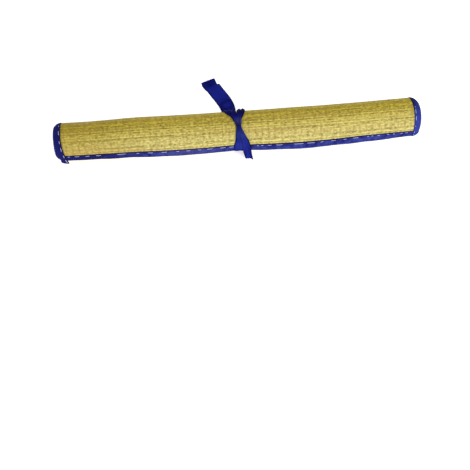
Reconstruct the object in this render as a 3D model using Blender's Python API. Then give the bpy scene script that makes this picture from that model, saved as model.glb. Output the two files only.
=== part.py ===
"""Rolled straw mat, bound with cloth on its four sides and tied with a ribbon.

Units are metres, +Z up. +X runs along the roll, and the loose edge ends on the -Y side.
The origin is on the surface under the middle of the roll, where the ribbon lies flat.
"""

import math

import bmesh
import bpy
from mathutils import Matrix, Vector

# The mat as it lies flat
MAT_LENGTH = 1.800
MAT_WIDTH = 0.600
SHEET = 0.0014
BINDING = 0.013
LEFT_CORNER = 0.022
GAP = 0.0003

# The roll: its radius over the loose edge, its hollow core, and the facets in one turn
ROLL_RADIUS = 0.0332
CORE_RADIUS = 0.0060
STEPS = 20
STEP = math.tau / STEPS
LOOSE_ANGLE = STEP / 2
CURL_BACK = math.radians(9)
PITCH = math.pi * (ROLL_RADIUS**2 - CORE_RADIUS**2) / (MAT_LENGTH - BINDING)
FACETS = round(STEPS * (ROLL_RADIUS - CORE_RADIUS - SHEET) / PITCH)
LOWEST = 3 * STEPS // 4
INNER_FACETS = round(BINDING / (STEP * (CORE_RADIUS + SHEET / 2)))

# How the roll departs from a straight cylinder: a bow to the front, ends that come to
# rest on either side of the ribbon, and bound edges that are drawn in
HALF = MAT_WIDTH / 2
STRAW_END = HALF - BINDING
BOW = 0.0045
LEVEL_FROM = 0.190
END_DRAW = 0.20
EDGE_THINNING = 0.45
DRAW_POWER = 2.5
BAND_MIDDLE = 0.55
PLACES = (-STRAW_END, -LEVEL_FROM, 0.0, LEVEL_FROM, STRAW_END)

# The ribbon, and the share of a row's fold that each point across the ribbon rises by
MM = 0.001
RIBBON = 0.0010
RIBBON_CLEAR = 0.0004
PLEATS = (0.0, 1.0, 0.3, 1.0, 0.0)
KNOT_DOME = (0.35, 0.85, 1.0, 0.85, 0.35)
KNOT_BASE = 0.0007

# The middle of the roll is lifted by the ribbon that runs under it
SAG = (RIBBON + RIBBON_CLEAR) * math.cos(STEP / 2)

# Rows of the ribbon against the roll: facets round from the loose edge, over the top;
# place along the roll, width, height of its pleats, and clearance, all in millimetres
FRONT_HALF = (
    (3.3, 0.0, 7.2, 0.8, 0.5),
    (3.0, 0.0, 8.0, 0.8, 0.4),
    (2.0, 0.0, 10.5, 0.7, 0.4),
    (1.0, 1.0, 15.0, 0.5, 0.4),
    (0.0, 3.0, 24.0, 0.3, 0.4),
)
BACK_HALF = (
    (18.0, 3.0, 25.0, 0.0, 0.4),
    (17.0, 2.2, 25.0, 0.0, 0.4),
    (16.0, 1.2, 25.0, 0.0, 0.4),
    (15.0, 0.3, 25.0, 0.0, 0.4),
    (14.0, 0.0, 25.0, 0.0, 0.4),
    (13.0, 0.8, 25.0, 0.0, 0.4),
    (12.0, 2.2, 24.0, 0.2, 0.4),
    (11.0, 3.6, 22.5, 0.4, 0.4),
    (10.0, 5.0, 20.0, 0.6, 0.4),
    (9.0, 6.0, 16.5, 0.8, 0.4),
    (8.0, 6.5, 13.5, 1.2, 0.4),
    (7.0, 6.2, 12.0, 1.8, 0.4),
    (6.0, 5.0, 10.5, 1.8, 0.4),
    (5.0, 3.2, 9.5, 1.5, 0.4),
    (4.0, 1.0, 8.0, 1.2, 0.45),
    (3.5, 0.2, 7.4, 1.0, 0.55),
)
LONG_TAIL = (
    (3.4, -0.4, 7.6, 1.2, 0.9),
    (4.0, -2.5, 9.0, 1.2, 0.6),
    (5.0, -6.8, 11.5, 1.2, 0.4),
    (6.0, -11.2, 18.0, 0.8, 0.4),
    (7.0, -12.8, 21.0, 0.5, 0.4),
    (8.0, -13.0, 22.5, 0.3, 0.5),
    (9.0, -12.6, 23.0, 0.2, 0.7),
)
SHORT_TAIL = (
    (3.6, 0.2, 7.2, 0.8, 1.7),
    (3.0, 0.5, 7.5, 0.8, 2.5),
    (2.0, 4.4, 9.0, 0.8, 2.4),
    (1.0, 8.2, 10.8, 0.7, 2.2),
    (0.0, 10.4, 11.6, 0.6, 2.1),
)
# Rows of the knot: facets round, width and height above its base
KNOT = (
    (2.95, 7.5, 2.2),
    (3.20, 8.8, 3.6),
    (3.50, 9.2, 4.2),
    (3.80, 8.8, 3.6),
    (4.10, 7.8, 2.2),
)

# Rows of the ribbon clear of the roll: the middle of its inner face, the degrees that its
# outer face is turned up from the front, its heading to the left, its width and pleats
OVER_LOOSE_EDGE = (
    (3.2, -34.2, 31.6, 4, 0, 24.5, 0.0),
    (3.6, -34.2, 25.1, -12, 0, 25.0, 0.0),
    (4.6, -33.2, 23.4, -46, 0, 24.5, 0.0),
)
DOWN_TO_FLOOR = (
    (-12.0, 33.4, 28.0, 176, 0, 23.5, 0.2),
    (-11.4, 34.8, 18.0, 168, 0, 24.0, 0.0),
    (-10.8, 37.6, 9.0, 153, 1, 24.5, 0.0),
    (-10.3, 42.0, 3.4, 125, 4, 25.0, 0.0),
    (-10.0, 49.0, 0.6, 100, 9, 25.0, 0.0),
    (-10.2, 58.0, 0.0, 90, 13, 24.5, 0.0),
    (-13.0, 71.5, 0.0, 90, 19, 25.0, 0.0),
    (-18.6, 86.0, 0.0, 90, 25, 25.5, 0.0),
    (-27.6, 103.0, 0.0, 90, 29, 25.5, 0.0),
    (-42.2, 130.5, 0.0, 90, 28, 25.0, 0.0),
)
DOWN_THE_FRONT = (
    (11.2, -35.9, 31.6, 4, 0, 12.4, 0.6),
    (11.8, -35.9, 24.8, 0, 0, 12.8, 0.7),
    (13.0, -36.9, 16.0, 8, 0, 12.0, 0.8),
    (14.5, -38.8, 6.6, 12, 0, 10.6, 0.8),
)
TIP_DROP = 0.003

# Edges turned more sharply than this are not shaded smooth
CREASE = math.radians(35)


def facet_radius(facet):
    """Radius of the roll's outer face at a facet corner, counted inward from the loose edge.

    The two corners of a facet underneath share one radius, so that it lies level.
    """
    under = facet % STEPS
    if under in (LOWEST - 1, LOWEST):
        facet += LOWEST - 0.5 - under
    return ROLL_RADIUS - PITCH * facet / STEPS


AXIS_HEIGHT = facet_radius(LOWEST) * math.cos(STEP / 2)


def from_axis(x, y, z, at=None):
    """A point given from the roll's straight axis, carried to the bowed and sagging one."""
    x_on_axis = abs(x if at is None else at)
    bow = BOW * (x_on_axis / HALF) ** 2
    lift = SAG * max(0.0, 1.0 - x_on_axis / LEVEL_FROM)
    return Vector((x, y + bow, z + AXIS_HEIGHT + lift))


def around(angle, radius):
    """Offset from the axis. The angle runs from the front, over the top, to the back."""
    return -radius * math.cos(angle), radius * math.sin(angle)


def over_roll(facet, clearance):
    """A place above the outer face, between the facet corners on either side of it."""
    before = math.floor(facet)
    ends = [
        Vector(around(LOOSE_ANGLE + i * STEP, facet_radius(i) + clearance))
        for i in (before, before + 1)
    ]
    return ends[0].lerp(ends[1], facet - before)


def fill_sheet(name, rows, material):
    """A closed sheet from rows of points across it, each an outer and an inner one."""
    shape = bmesh.new()
    outer = [[shape.verts.new(pair[0]) for pair in row] for row in rows]
    inner = [[shape.verts.new(pair[1]) for pair in row] for row in rows]
    last = len(rows[0]) - 1
    for i in range(len(rows) - 1):
        for j in range(last):
            for face in (outer, inner):
                shape.faces.new((face[i][j], face[i][j + 1], face[i + 1][j + 1], face[i + 1][j]))
        for j in (0, last):
            shape.faces.new((outer[i][j], outer[i + 1][j], inner[i + 1][j], inner[i][j]))
    for i in (0, len(rows) - 1):
        for j in range(last):
            shape.faces.new((outer[i][j], outer[i][j + 1], inner[i][j + 1], inner[i][j]))
    bmesh.ops.recalc_face_normals(shape, faces=shape.faces)
    mesh = bpy.data.meshes.new(name)
    shape.to_mesh(mesh)
    shape.free()
    mesh.shade_smooth()
    mesh.set_sharp_from_angle(angle=CREASE)
    mesh.materials.append(material)
    piece = bpy.data.objects.new(name, mesh)
    bpy.context.scene.collection.objects.link(piece)
    return piece


def finish(name, colour, roughness):
    material = bpy.data.materials.new(name)
    material.use_nodes = True
    shader = material.node_tree.nodes["Principled BSDF"]
    shader.inputs["Base Color"].default_value = (*colour, 1.0)
    shader.inputs["Roughness"].default_value = roughness
    shader.inputs["Metallic"].default_value = 0.0
    return material


def straight_sections():
    """Sections across the straw: place, how far it is drawn in, and thickness."""
    return [(x, 1.0, SHEET) for x in PLACES]


def drawn_in_sections(side):
    """Sections across an end binding: place, how far it is drawn in, and thickness."""
    sections = []
    for reach in (GAP, BAND_MIDDLE * BINDING, BINDING):
        part = (reach / BINDING) ** DRAW_POWER
        sections.append((
            side * (STRAW_END + reach),
            1.0 - END_DRAW * part,
            SHEET * (1.0 - EDGE_THINNING * part),
        ))
    return sections


def section_pairs(sections, y, z, normal):
    """The outer and inner points at each section of a sheet whose middle is at y, z."""
    row = []
    for x, draw, thick in sections:
        away = normal * thick / 2
        row.append((
            from_axis(x, (y + away.x) * draw, (z + away.y) * draw),
            from_axis(x, (y - away.x) * draw, (z - away.y) * draw),
        ))
    return row


def wound_row(facet, sections, further=0.0):
    """The wound sheet at a facet corner, or a little further in round the core."""
    middle = facet_radius(facet) - SHEET / 2
    angle = LOOSE_ANGLE + facet * STEP + further / middle
    return section_pairs(sections, *around(angle, middle), Vector(around(angle, 1.0)))


def hanging_row(drop, sections):
    """The sheet past its last facet, which hangs straight and then turns back a little."""
    y, z = around(LOOSE_ANGLE, ROLL_RADIUS - SHEET / 2)
    angle = LOOSE_ANGLE
    for start, stretch in ((0.0, BINDING / 2), (BINDING / 2, drop)):
        length = max(0.0, min(drop, stretch) - start)
        if start > 0.0 and length > 0.0:
            angle -= CURL_BACK
        y -= length * math.sin(angle)
        z -= length * math.cos(angle)
    return section_pairs(sections, y, z, Vector(around(angle, 1.0)))


def make_mat(straw):
    """The straw sheet, from the loose edge to where the inner binding starts."""
    sections = straight_sections()
    rows = [wound_row(facet, sections) for facet in range(FACETS - INNER_FACETS + 1)]
    fill_sheet("mat", rows, straw)


def make_inner_binding(cloth):
    """The cloth over the inner short edge, in the core."""
    sections = straight_sections()
    first = FACETS - INNER_FACETS
    rows = [wound_row(first, sections, GAP)]
    rows += [wound_row(facet, sections) for facet in range(first + 1, FACETS + 1)]
    fill_sheet("binding_inner_edge", rows, cloth)


def make_loose_binding(cloth):
    """The cloth over the loose short edge, hanging on the front of the roll."""
    sections = straight_sections()
    rows = [hanging_row(drop, sections) for drop in (BINDING, BINDING / 2, GAP)]
    fill_sheet("binding_loose_edge", rows, cloth)


def make_end_binding(name, side, drops, cloth):
    """The cloth over one long edge, wound with the mat, its corner hanging free."""
    sections = drawn_in_sections(side)
    rows = [hanging_row(drop, sections) for drop in drops]
    rows += [wound_row(facet, sections) for facet in range(FACETS + 1)]
    fill_sheet(name, rows, cloth)


def share_across(j):
    """Where a point lies across the ribbon, from minus a half to a half of its width."""
    return j / (len(PLEATS) - 1) - 0.5


def ribbon_on_roll(table, centred=False):
    """Rows of ribbon against the roll. The part under the roll keeps to its middle axis."""
    rows = []
    for facet, x, width, fold, clearance in table:
        row = []
        for j, share in enumerate(PLEATS):
            place = (x + width * share_across(j)) * MM
            rise = (clearance + fold * share) * MM
            row.append([
                from_axis(place, *over_roll(facet, height), 0.0 if centred else x * MM)
                for height in (rise + RIBBON, rise)
            ])
        rows.append(row)
    return rows


def ribbon_in_air(table):
    """Rows of ribbon where it hangs free or lies on the surface."""
    rows = []
    for x, y, z, turned_up, heading, width, fold in table:
        turn = Matrix.Rotation(math.radians(heading), 3, "Z")
        across = turn @ Vector((1.0, 0.0, 0.0))
        up_angle = math.radians(turned_up)
        outward = turn @ Vector((0.0, *around(up_angle, 1.0)))
        middle = Vector((x, y, z)) * MM
        row = []
        for j, share in enumerate(PLEATS):
            inner = middle + (across * width * share_across(j) + outward * fold * share) * MM
            row.append([inner + outward * RIBBON, inner])
        rows.append(row)
    return rows


def knot_rows():
    """Rows of the half knot, a rounded lump where the two halves of the ribbon cross."""
    rows = []
    for facet, width, height in KNOT:
        row = []
        for j, dome in enumerate(KNOT_DOME):
            place = width * share_across(j) * MM
            top = KNOT_BASE + height * dome * MM
            row.append([from_axis(place, *over_roll(facet, h), 0.0) for h in (top, KNOT_BASE)])
        rows.append(row)
    return rows


def make_tie(satin):
    """The ribbon: both halves round the roll, the knot, and its long and short free ends."""
    front = ribbon_on_roll(FRONT_HALF, True) + ribbon_in_air(OVER_LOOSE_EDGE)
    tie = fill_sheet("tie", front + ribbon_on_roll(BACK_HALF, True), satin)
    hanging = ribbon_in_air(DOWN_THE_FRONT)
    for j, pair in enumerate(hanging[-1]):
        for point in pair:
            point.z -= TIP_DROP * (share_across(j) + 0.5)
    others = {
        "knot": knot_rows(),
        "long_tail": ribbon_on_roll(LONG_TAIL) + ribbon_in_air(DOWN_TO_FLOOR),
        "short_tail": ribbon_on_roll(SHORT_TAIL) + hanging,
    }
    for name, rows in others.items():
        joined = fill_sheet(name, rows, satin)
        joined.hide_render = True
        joined.display_type = "WIRE"
        union = tie.modifiers.new(name, "BOOLEAN")
        union.operation = "UNION"
        union.solver = "EXACT"
        union.object = joined


def main():
    for thing in list(bpy.data.objects):
        bpy.data.objects.remove(thing, do_unlink=True)
    straw = finish("straw", (0.47, 0.37, 0.11), 0.65)
    cloth = finish("binding_cloth", (0.02, 0.02, 0.20), 0.85)
    satin = finish("ribbon_cloth", (0.01, 0.01, 0.15), 0.75)
    make_mat(straw)
    make_end_binding("binding_left", -1, (LEFT_CORNER, BINDING, BINDING / 2), cloth)
    make_end_binding("binding_right", 1, (BINDING, BINDING / 2), cloth)
    make_loose_binding(cloth)
    make_inner_binding(cloth)
    make_tie(satin)


main()
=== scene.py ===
"""A rolled straw mat, bound in blue cloth and tied with a blue ribbon, on a pale floor.

Units are metres, +Z up. +X runs along the roll, and the mat's loose edge hangs on the -Y side.
"""

import math
import random

import bmesh
import bpy
from mathutils import Matrix, Vector, noise


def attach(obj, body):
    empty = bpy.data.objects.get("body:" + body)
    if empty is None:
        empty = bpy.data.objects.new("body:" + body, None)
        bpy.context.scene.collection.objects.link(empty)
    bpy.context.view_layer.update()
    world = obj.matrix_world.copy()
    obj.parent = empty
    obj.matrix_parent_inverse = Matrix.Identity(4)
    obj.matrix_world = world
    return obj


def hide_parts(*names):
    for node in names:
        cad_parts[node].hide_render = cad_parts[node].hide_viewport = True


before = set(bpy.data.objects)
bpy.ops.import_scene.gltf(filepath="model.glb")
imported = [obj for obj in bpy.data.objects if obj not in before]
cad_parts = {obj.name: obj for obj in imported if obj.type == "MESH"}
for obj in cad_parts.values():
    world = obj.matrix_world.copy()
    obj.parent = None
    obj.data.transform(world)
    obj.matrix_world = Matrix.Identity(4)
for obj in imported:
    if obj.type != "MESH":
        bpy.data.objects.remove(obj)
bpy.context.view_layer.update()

# The view
# Someone standing a little to the left of the roll's middle looks down on its front, and
# the roll takes up the upper part of what they see.
VIEWER = Vector((-0.0700, -0.8287, 1.2206))
LOOKED_AT = Vector((-0.0198, -0.1777, 0.0))
HEAD_TILT = math.radians(-0.37)
SENSOR_MM = 36.0
LENS_MM = 66.95

viewer_lens = bpy.data.cameras.new("viewer")
viewer_lens.sensor_width = SENSOR_MM
viewer_lens.lens = LENS_MM
viewer = bpy.data.objects.new("viewer", viewer_lens)
bpy.context.scene.collection.objects.link(viewer)
line_of_sight = (LOOKED_AT - VIEWER).to_track_quat("-Z", "Y").to_matrix()
viewer.matrix_world = Matrix.Translation(VIEWER) @ (
    line_of_sight @ Matrix.Rotation(HEAD_TILT, 3, "Z")
).to_4x4()
bpy.context.scene.camera = viewer
bpy.context.scene.view_settings.view_transform = "Standard"

# The floor and the light
# A pale matt floor in an even light that is a little stronger in front than behind, and one
# broad lamp low in front to the right, so the far side and the left end are a little darker.
# Past the floor, the room shows plain white.
FLOOR_HALF = 4.0
FLOOR_TONES = ((0.955, 0.955, 0.96), (0.975, 0.975, 0.975))
FLOOR_MOTTLE = 3.0
FLOOR_GLOW = 0.45
ROOM_COLOUR = (0.985, 0.99, 1.0, 1.0)
ROOM_IN_FRONT = 1.0
ROOM_BEHIND = 0.72
ROOM_CHANGES_OVER = 0.6
LAMP_SIZE = 1.6
LAMP_DISTANCE = 2.2
LAMP_HEIGHT_ANGLE = math.radians(34)
LAMP_POWER = 31.0
LAMP_COLOUR = (1.0, 0.975, 0.93)
LAMP_TO_THE_RIGHT = 0.9


def feed(tree, value, socket):
    """Give a socket its value: another node's output, a colour or a number."""
    if isinstance(value, bpy.types.NodeSocket):
        tree.links.new(value, socket)
    elif isinstance(value, tuple):
        socket.default_value = (*value, 1.0)
    else:
        socket.default_value = value


def work(tree, operation, *values):
    """A math node over sockets or numbers, giving its output socket."""
    node = tree.nodes.new("ShaderNodeMath")
    node.operation = operation
    for socket, value in zip(node.inputs, values):
        feed(tree, value, socket)
    return node.outputs[0]


def blend_colours(tree, share, low, high):
    """A mix node between two colours, each a socket or three numbers."""
    node = tree.nodes.new("ShaderNodeMix")
    node.data_type = "RGBA"
    used = [socket for socket in node.inputs if socket.enabled]
    for socket, value in zip(used, (share, low, high)):
        feed(tree, value, socket)
    return [socket for socket in node.outputs if socket.enabled][0]


def between(tree, value, low, high, to_low=0.0, to_high=1.0):
    """A map range node from one span of numbers to another, kept inside it."""
    node = tree.nodes.new("ShaderNodeMapRange")
    for socket, number in zip(node.inputs, (value, low, high, to_low, to_high)):
        feed(tree, number, socket)
    return node.outputs[0]


def new_finish(name):
    """A new material, with its node tree and its shader."""
    material = bpy.data.materials.new(name)
    material.use_nodes = True
    return material, material.node_tree, material.node_tree.nodes["Principled BSDF"]


pale_floor, tree, shader = new_finish("pale_floor")
shader.inputs["Roughness"].default_value = 0.9
shader.inputs["Specular IOR Level"].default_value = 0.2
shader.inputs["Emission Color"].default_value = (1.0, 1.0, 1.0, 1.0)
shader.inputs["Emission Strength"].default_value = FLOOR_GLOW
mottle = tree.nodes.new("ShaderNodeTexNoise")
mottle.inputs["Scale"].default_value = FLOOR_MOTTLE
feed(tree, blend_colours(tree, mottle.outputs["Fac"], *FLOOR_TONES), shader.inputs["Base Color"])

floor_mesh = bpy.data.meshes.new("floor")
floor_mesh.from_pydata(
    [(x * FLOOR_HALF, y * FLOOR_HALF, 0.0) for x, y in ((-1, -1), (1, -1), (1, 1), (-1, 1))],
    [],
    [(0, 1, 2, 3)],
)
floor_mesh.materials.append(pale_floor)
floor = bpy.data.objects.new("floor", floor_mesh)
bpy.context.scene.collection.objects.link(floor)

room = bpy.data.worlds.new("white_room")
bpy.context.scene.world = room
room.use_nodes = True
tree = room.node_tree
tree.nodes["Background"].inputs["Color"].default_value = ROOM_COLOUR
direction = tree.nodes.new("ShaderNodeSeparateXYZ")
tree.links.new(tree.nodes.new("ShaderNodeTexCoord").outputs["Generated"], direction.inputs[0])
front_to_back = between(
    tree, direction.outputs[1], -ROOM_CHANGES_OVER, ROOM_CHANGES_OVER, ROOM_IN_FRONT, ROOM_BEHIND
)
seen_itself = tree.nodes.new("ShaderNodeLightPath").outputs["Is Camera Ray"]
glow = work(tree, "MAXIMUM", front_to_back, seen_itself)
tree.links.new(glow, tree.nodes["Background"].inputs["Strength"])

front_light = bpy.data.lights.new("front_lamp", "AREA")
front_light.shape = "DISK"
front_light.size = LAMP_SIZE
front_light.energy = LAMP_POWER
front_light.color = LAMP_COLOUR
front_lamp = bpy.data.objects.new("front_lamp", front_light)
front_lamp.location = (
    LAMP_TO_THE_RIGHT,
    -LAMP_DISTANCE * math.cos(LAMP_HEIGHT_ANGLE),
    LAMP_DISTANCE * math.sin(LAMP_HEIGHT_ANGLE),
)
front_lamp.rotation_euler = (-front_lamp.location).to_track_quat("-Z", "Y").to_euler()
bpy.context.scene.collection.objects.link(front_lamp)

# The straw sheet
# Flattened stalks lie side by side along the roll, each held by thin warp threads about a
# centimetre apart. The sheet is wound from its loose edge on the front, over the top and
# round into a hollow core, about fourteen turns.
MM = 0.001
MAT_LENGTH = 1.800
MAT_WIDTH = 0.600
SHEET = 0.0014
BINDING = 0.013
HALF = MAT_WIDTH / 2
STRAW_END = HALF - BINDING
ROLL_RADIUS = 0.0332
CORE_RADIUS = 0.0060
PITCH = math.pi * (ROLL_RADIUS**2 - CORE_RADIUS**2) / (MAT_LENGTH - BINDING)
LOOSE_ANGLE = math.radians(9)
FLAT_ANGLE = math.radians(9)
FACET_DEGREES = 18
INNER_BINDING_FACET = 269
# Turns from the loose edge to the place under the axis
UNDERNEATH = 0.725
# How the roll bows along its length, and is tighter or fuller
BOW = 0.0045
LEVEL_FROM = 0.190
LIFT = 0.0014 * math.cos(FLAT_ANGLE)
TIGHT_ALL = 0.016
TIGHT_END = 0.026
TIGHT_END_FROM = 0.150
TIGHT_END_SPAN = 0.110
FORWARD_ALL = 0.0006
FORWARD_END = 0.0012
CORNER_SKEW = 0.0038
CORNER_REACH = 0.036
RIGHT_LEAN = 0.0022
RIGHT_LEAN_AT = 0.031
RIGHT_LEAN_SPAN = 0.046
FULLER = 0.018
FULLER_AT = -0.175
FULLER_SPAN = 0.10
# Where the loose edge is slack: middle, span and depth
SLACK_RIGHT = (0.102, 0.105, 0.0030)
SLACK_LEFT = (-0.085, 0.090, 0.0016)
SLACK_ENDS = math.radians(48)
SLACK_FORWARD = 0.4
# The unevenness of the outer turn, and its stalks
LUMPS = 0.0004
SUNK = 0.0002
SEEN_TURN = math.tau + math.radians(12)
COARSE_STEP = math.radians(10)
CLOSE = 0.001
STALK_WIDTHS = (0.0017, 0.0026)
STALK_CREST = 0.0001
STALK_WANDER = 0.0006
# Along a stalk's width: share of it, and how far the face lies below its crest in millimetres
STALK_SECTION = ((0.0, 0.42), (0.2, 0.10), (0.5, 0.0), (0.8, 0.10))
INNER_RADIUS = 0.02
INNER_STALK = 0.0023
WARP_LINES = 54
WARP_DRIFT = 0.0005
PINCH_REACH = 0.0017
PINCH_DEPTH = 0.00024
BETWEEN_BULGE = 0.00006
# Colours of the straw, its darker and its lighter; the top colours, the left colour and the shaded
# colour are painted shade
SHADED_TOP_STRAW = ((0.215, 0.155, 0.002), (0.640, 0.495, 0.030))
PALE_STRAW = ((0.220, 0.175, 0.024), (0.640, 0.555, 0.180))
LEFT_SHADE_STRAW = (0.49, 0.335, 0.0)
WARM_STRAW = (0.50, 0.33, 0.07)
SHADED_STRAW = (0.10, 0.070, 0.010)
LEFT_PART = (-0.27, -0.13)
TONE_RANGE = (1.243, 1.868)

chance = random.Random(11)


def at_facet(facets):
    """The angle turned from the loose edge, by the flat facets of the wound solids."""
    return math.radians(FACET_DEGREES * facets)


def height_of_level(turned, depth):
    """How far below the axis the sheet lies level where it passes under the roll."""
    passes = max(0, round(turned / math.tau - UNDERNEATH))
    radius = ROLL_RADIUS - PITCH * (UNDERNEATH + passes)
    return (radius - depth) * math.cos(FLAT_ANGLE)


INNER_BINDING_AT = at_facet(INNER_BINDING_FACET)
AXIS_HEIGHT = height_of_level(0.0, 0.0)


def swell(x, middle, span, power):
    """A smooth rise to one at its middle, that fades out at its span to either side."""
    return max(0.0, 1 - ((x - middle) / span) ** 2) ** power


def near_left_end(x):
    """How much a place belongs to the left end, which is wound a little tighter."""
    share = min(1.0, max(0.0, (-x - TIGHT_END_FROM) / TIGHT_END_SPAN))
    return share * share * (3 - 2 * share)


def skewed(x, run):
    """The loose edge's left corner is pulled to the middle; off its front, the right end leans in."""
    reach = min(1.0, max(0.0, (abs(x) - LEVEL_FROM) / (STRAW_END - LEVEL_FROM)))
    if x > 0:
        return x - RIGHT_LEAN * reach * min(1.0, ((run - RIGHT_LEAN_AT) / RIGHT_LEAN_SPAN) ** 2)
    return x + CORNER_SKEW * reach * min(1.6, max(0.0, 1 - run / CORNER_REACH)) ** 1.5


def from_axis(x, y, z, at=None):
    """Carry a point from the roll's straight axis to the bowed one, lifted at its middle."""
    along = abs(x if at is None else at)
    lift = LIFT * 0.5 * (1 + math.cos(math.pi * min(1.0, along / LEVEL_FROM)))
    end = near_left_end(x)
    tight = 1 - TIGHT_ALL - TIGHT_END * end + FULLER * swell(x, FULLER_AT, FULLER_SPAN, 2)
    y = y * tight + BOW * (along / HALF) ** 2 - FORWARD_ALL - FORWARD_END * end
    return Vector((x, y, max(0.0, (z + AXIS_HEIGHT) * tight + lift)))


def slack(x):
    """How far the loose edge hangs away from the roll, between the ribbon and its two ends."""
    return sum(deep * swell(x, middle, span, 1.2) for middle, span, deep in (SLACK_RIGHT, SLACK_LEFT))


def on_roll(x, turned, above=0.0, draw=1.0, at=None):
    """A place on or above the wound sheet, by the angle turned from its loose edge.

    With draw it comes nearer the axis, and with at it takes the bow of another place.
    """
    angle = LOOSE_ANGLE + turned
    radius = ROLL_RADIUS - PITCH * turned / math.tau + above
    z = radius * math.sin(angle)
    if z < 0:
        z = max(z, -height_of_level(turned, -above))
    loose = slack(x) * (1 - turned / SLACK_ENDS) ** 2 if turned < SLACK_ENDS else 0.0
    y = -radius * math.cos(angle) - SLACK_FORWARD * loose
    return from_axis(skewed(x, turned * ROLL_RADIUS), y * draw, (z - loose) * draw, at)


def slow_swell(x, turned):
    """The roll's slight lumps and sag, which fade out where it is bound."""
    edge = min(1.0, max(0.0, (STRAW_END - abs(x)) / 0.03))
    return LUMPS * edge * noise.noise((x * 16.0, turned * 1.4, 3.0)) - SUNK * edge - SUNK


def link_piece(name, points, faces, marks, layer, material):
    """A mesh object with smooth faces, and a map of where each point lies on the real cloth."""
    mesh = bpy.data.meshes.new(name)
    mesh.from_pydata(points, [], faces)
    shape = bmesh.new()
    shape.from_mesh(mesh)
    bmesh.ops.recalc_face_normals(shape, faces=shape.faces)
    shape.to_mesh(mesh)
    shape.free()
    mapped = mesh.uv_layers.new(name=layer)
    for corner, loop in enumerate(mesh.loops):
        mapped.data[corner].uv = marks[loop.vertex_index]
    mesh.shade_smooth()
    mesh.materials.append(material)
    piece = bpy.data.objects.new(name, mesh)
    bpy.context.scene.collection.objects.link(piece)
    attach(piece, "root")
    return piece


def ring_faces(rings, count, first=0):
    """Faces of a closed skin through rings that each have the same count of points."""
    faces = []
    for i in range(rings - 1):
        near = first + i * count
        for j in range(count):
            k = (j + 1) % count
            faces.append((near + j, near + k, near + count + k, near + count + j))
    return faces


warp_places = [
    -STRAW_END + 2 * STRAW_END * (i + 0.5) / WARP_LINES + chance.uniform(-WARP_DRIFT, WARP_DRIFT)
    for i in range(WARP_LINES)
]
columns = [(-STRAW_END, None)]
for line, place in enumerate(warp_places):
    columns += [(place - PINCH_REACH, None), (place, line), (place + PINCH_REACH, None)]
columns.append((STRAW_END, None))
inner_columns = (STRAW_END, LEVEL_FROM, 0.0, -LEVEL_FROM, -STRAW_END)

# The outer turn, stalk by stalk
stalks = []
turned = 0.0
while turned < SEEN_TURN:
    width = chance.uniform(*STALK_WIDTHS)
    stalks.append((turned, width, chance.uniform(-STALK_CREST, STALK_CREST)))
    turned += width / ROLL_RADIUS
straw_points = []
straw_marks = []
for number, (start, width, crest) in enumerate(stalks):
    for share, below in STALK_SECTION:
        here = start + share * width / ROLL_RADIUS
        for x, line in columns:
            wander = STALK_WANDER * noise.noise((x * 7.0, number * 0.11, 0.0)) / ROLL_RADIUS
            wander *= min(1.0, here * 8.0)
            above = crest - below * MM + slow_swell(x, here)
            if line is not None:
                above += -PINCH_DEPTH if (line + number) % 2 else BETWEEN_BULGE
            straw_points.append(on_roll(x, here + wander, above))
            straw_marks.append((x, number + share))
        for x in inner_columns:
            straw_points.append(on_roll(x, here, -SHEET))
            straw_marks.append((x, number + share))
fine_rings = len(stalks) * len(STALK_SECTION)
fine_count = len(columns) + len(inner_columns)
straw_faces = ring_faces(fine_rings, fine_count)
straw_faces.append(tuple(range(fine_count)))

# The inner turns, as a plain sheet up to the inner edge's binding
coarse_columns = inner_columns[::-1]
coarse_count = 2 * len(inner_columns)
coarse_first = len(straw_points)
here = turned
while here < INNER_BINDING_AT + CLOSE:
    mark = len(stalks) + (here - turned) * INNER_RADIUS / INNER_STALK
    for x in coarse_columns:
        straw_points.append(on_roll(x, here))
        straw_marks.append((x, mark))
    for x in inner_columns:
        straw_points.append(on_roll(x, here, -SHEET))
        straw_marks.append((x, mark))
    here += min(COARSE_STEP, max(1.1 * CLOSE, INNER_BINDING_AT - here))
coarse_rings = (len(straw_points) - coarse_first) // coarse_count
straw_faces += ring_faces(coarse_rings, coarse_count, coarse_first)
straw_faces.append(tuple(len(straw_points) - coarse_count + j for j in range(coarse_count)))

# The step between the two, where many fine columns meet a few coarse ones
last_fine = (fine_rings - 1) * fine_count
fine_stops = [0] + [
    min(range(len(columns)), key=lambda j: abs(columns[j][0] - x)) for x in coarse_columns[1:-1]
] + [len(columns) - 1]
for i in range(len(fine_stops) - 1):
    fine_run = [last_fine + j for j in range(fine_stops[i], fine_stops[i + 1] + 1)]
    straw_faces.append(tuple(fine_run + [coarse_first + i + 1, coarse_first + i]))
for j in range(len(columns) - 1, fine_count):
    k = (j + 1) % fine_count
    near = j - len(columns) + len(coarse_columns)
    far = (near + 1) % coarse_count
    straw_faces.append((last_fine + j, last_fine + k, coarse_first + far, coarse_first + near))


def map_parts(tree, layer):
    """The two coordinates of a piece's own map."""
    piece_map = tree.nodes.new("ShaderNodeUVMap")
    piece_map.uv_map = layer
    parts = tree.nodes.new("ShaderNodeSeparateXYZ")
    tree.links.new(piece_map.outputs[0], parts.inputs[0])
    return parts.outputs[0], parts.outputs[1]


def spread(tree, u, u_rate, v, v_rate, detail=2.0, roughness=0.5):
    """Noise over a map, with its own rate of change along each coordinate."""
    place = tree.nodes.new("ShaderNodeCombineXYZ")
    tree.links.new(work(tree, "MULTIPLY", u, u_rate), place.inputs[0])
    tree.links.new(work(tree, "MULTIPLY", v, v_rate), place.inputs[1])
    node = tree.nodes.new("ShaderNodeTexNoise")
    tree.links.new(place.outputs[0], node.inputs["Vector"])
    node.inputs["Scale"].default_value = 1.0
    node.inputs["Detail"].default_value = detail
    node.inputs["Roughness"].default_value = roughness
    return node.outputs["Fac"]


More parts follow.
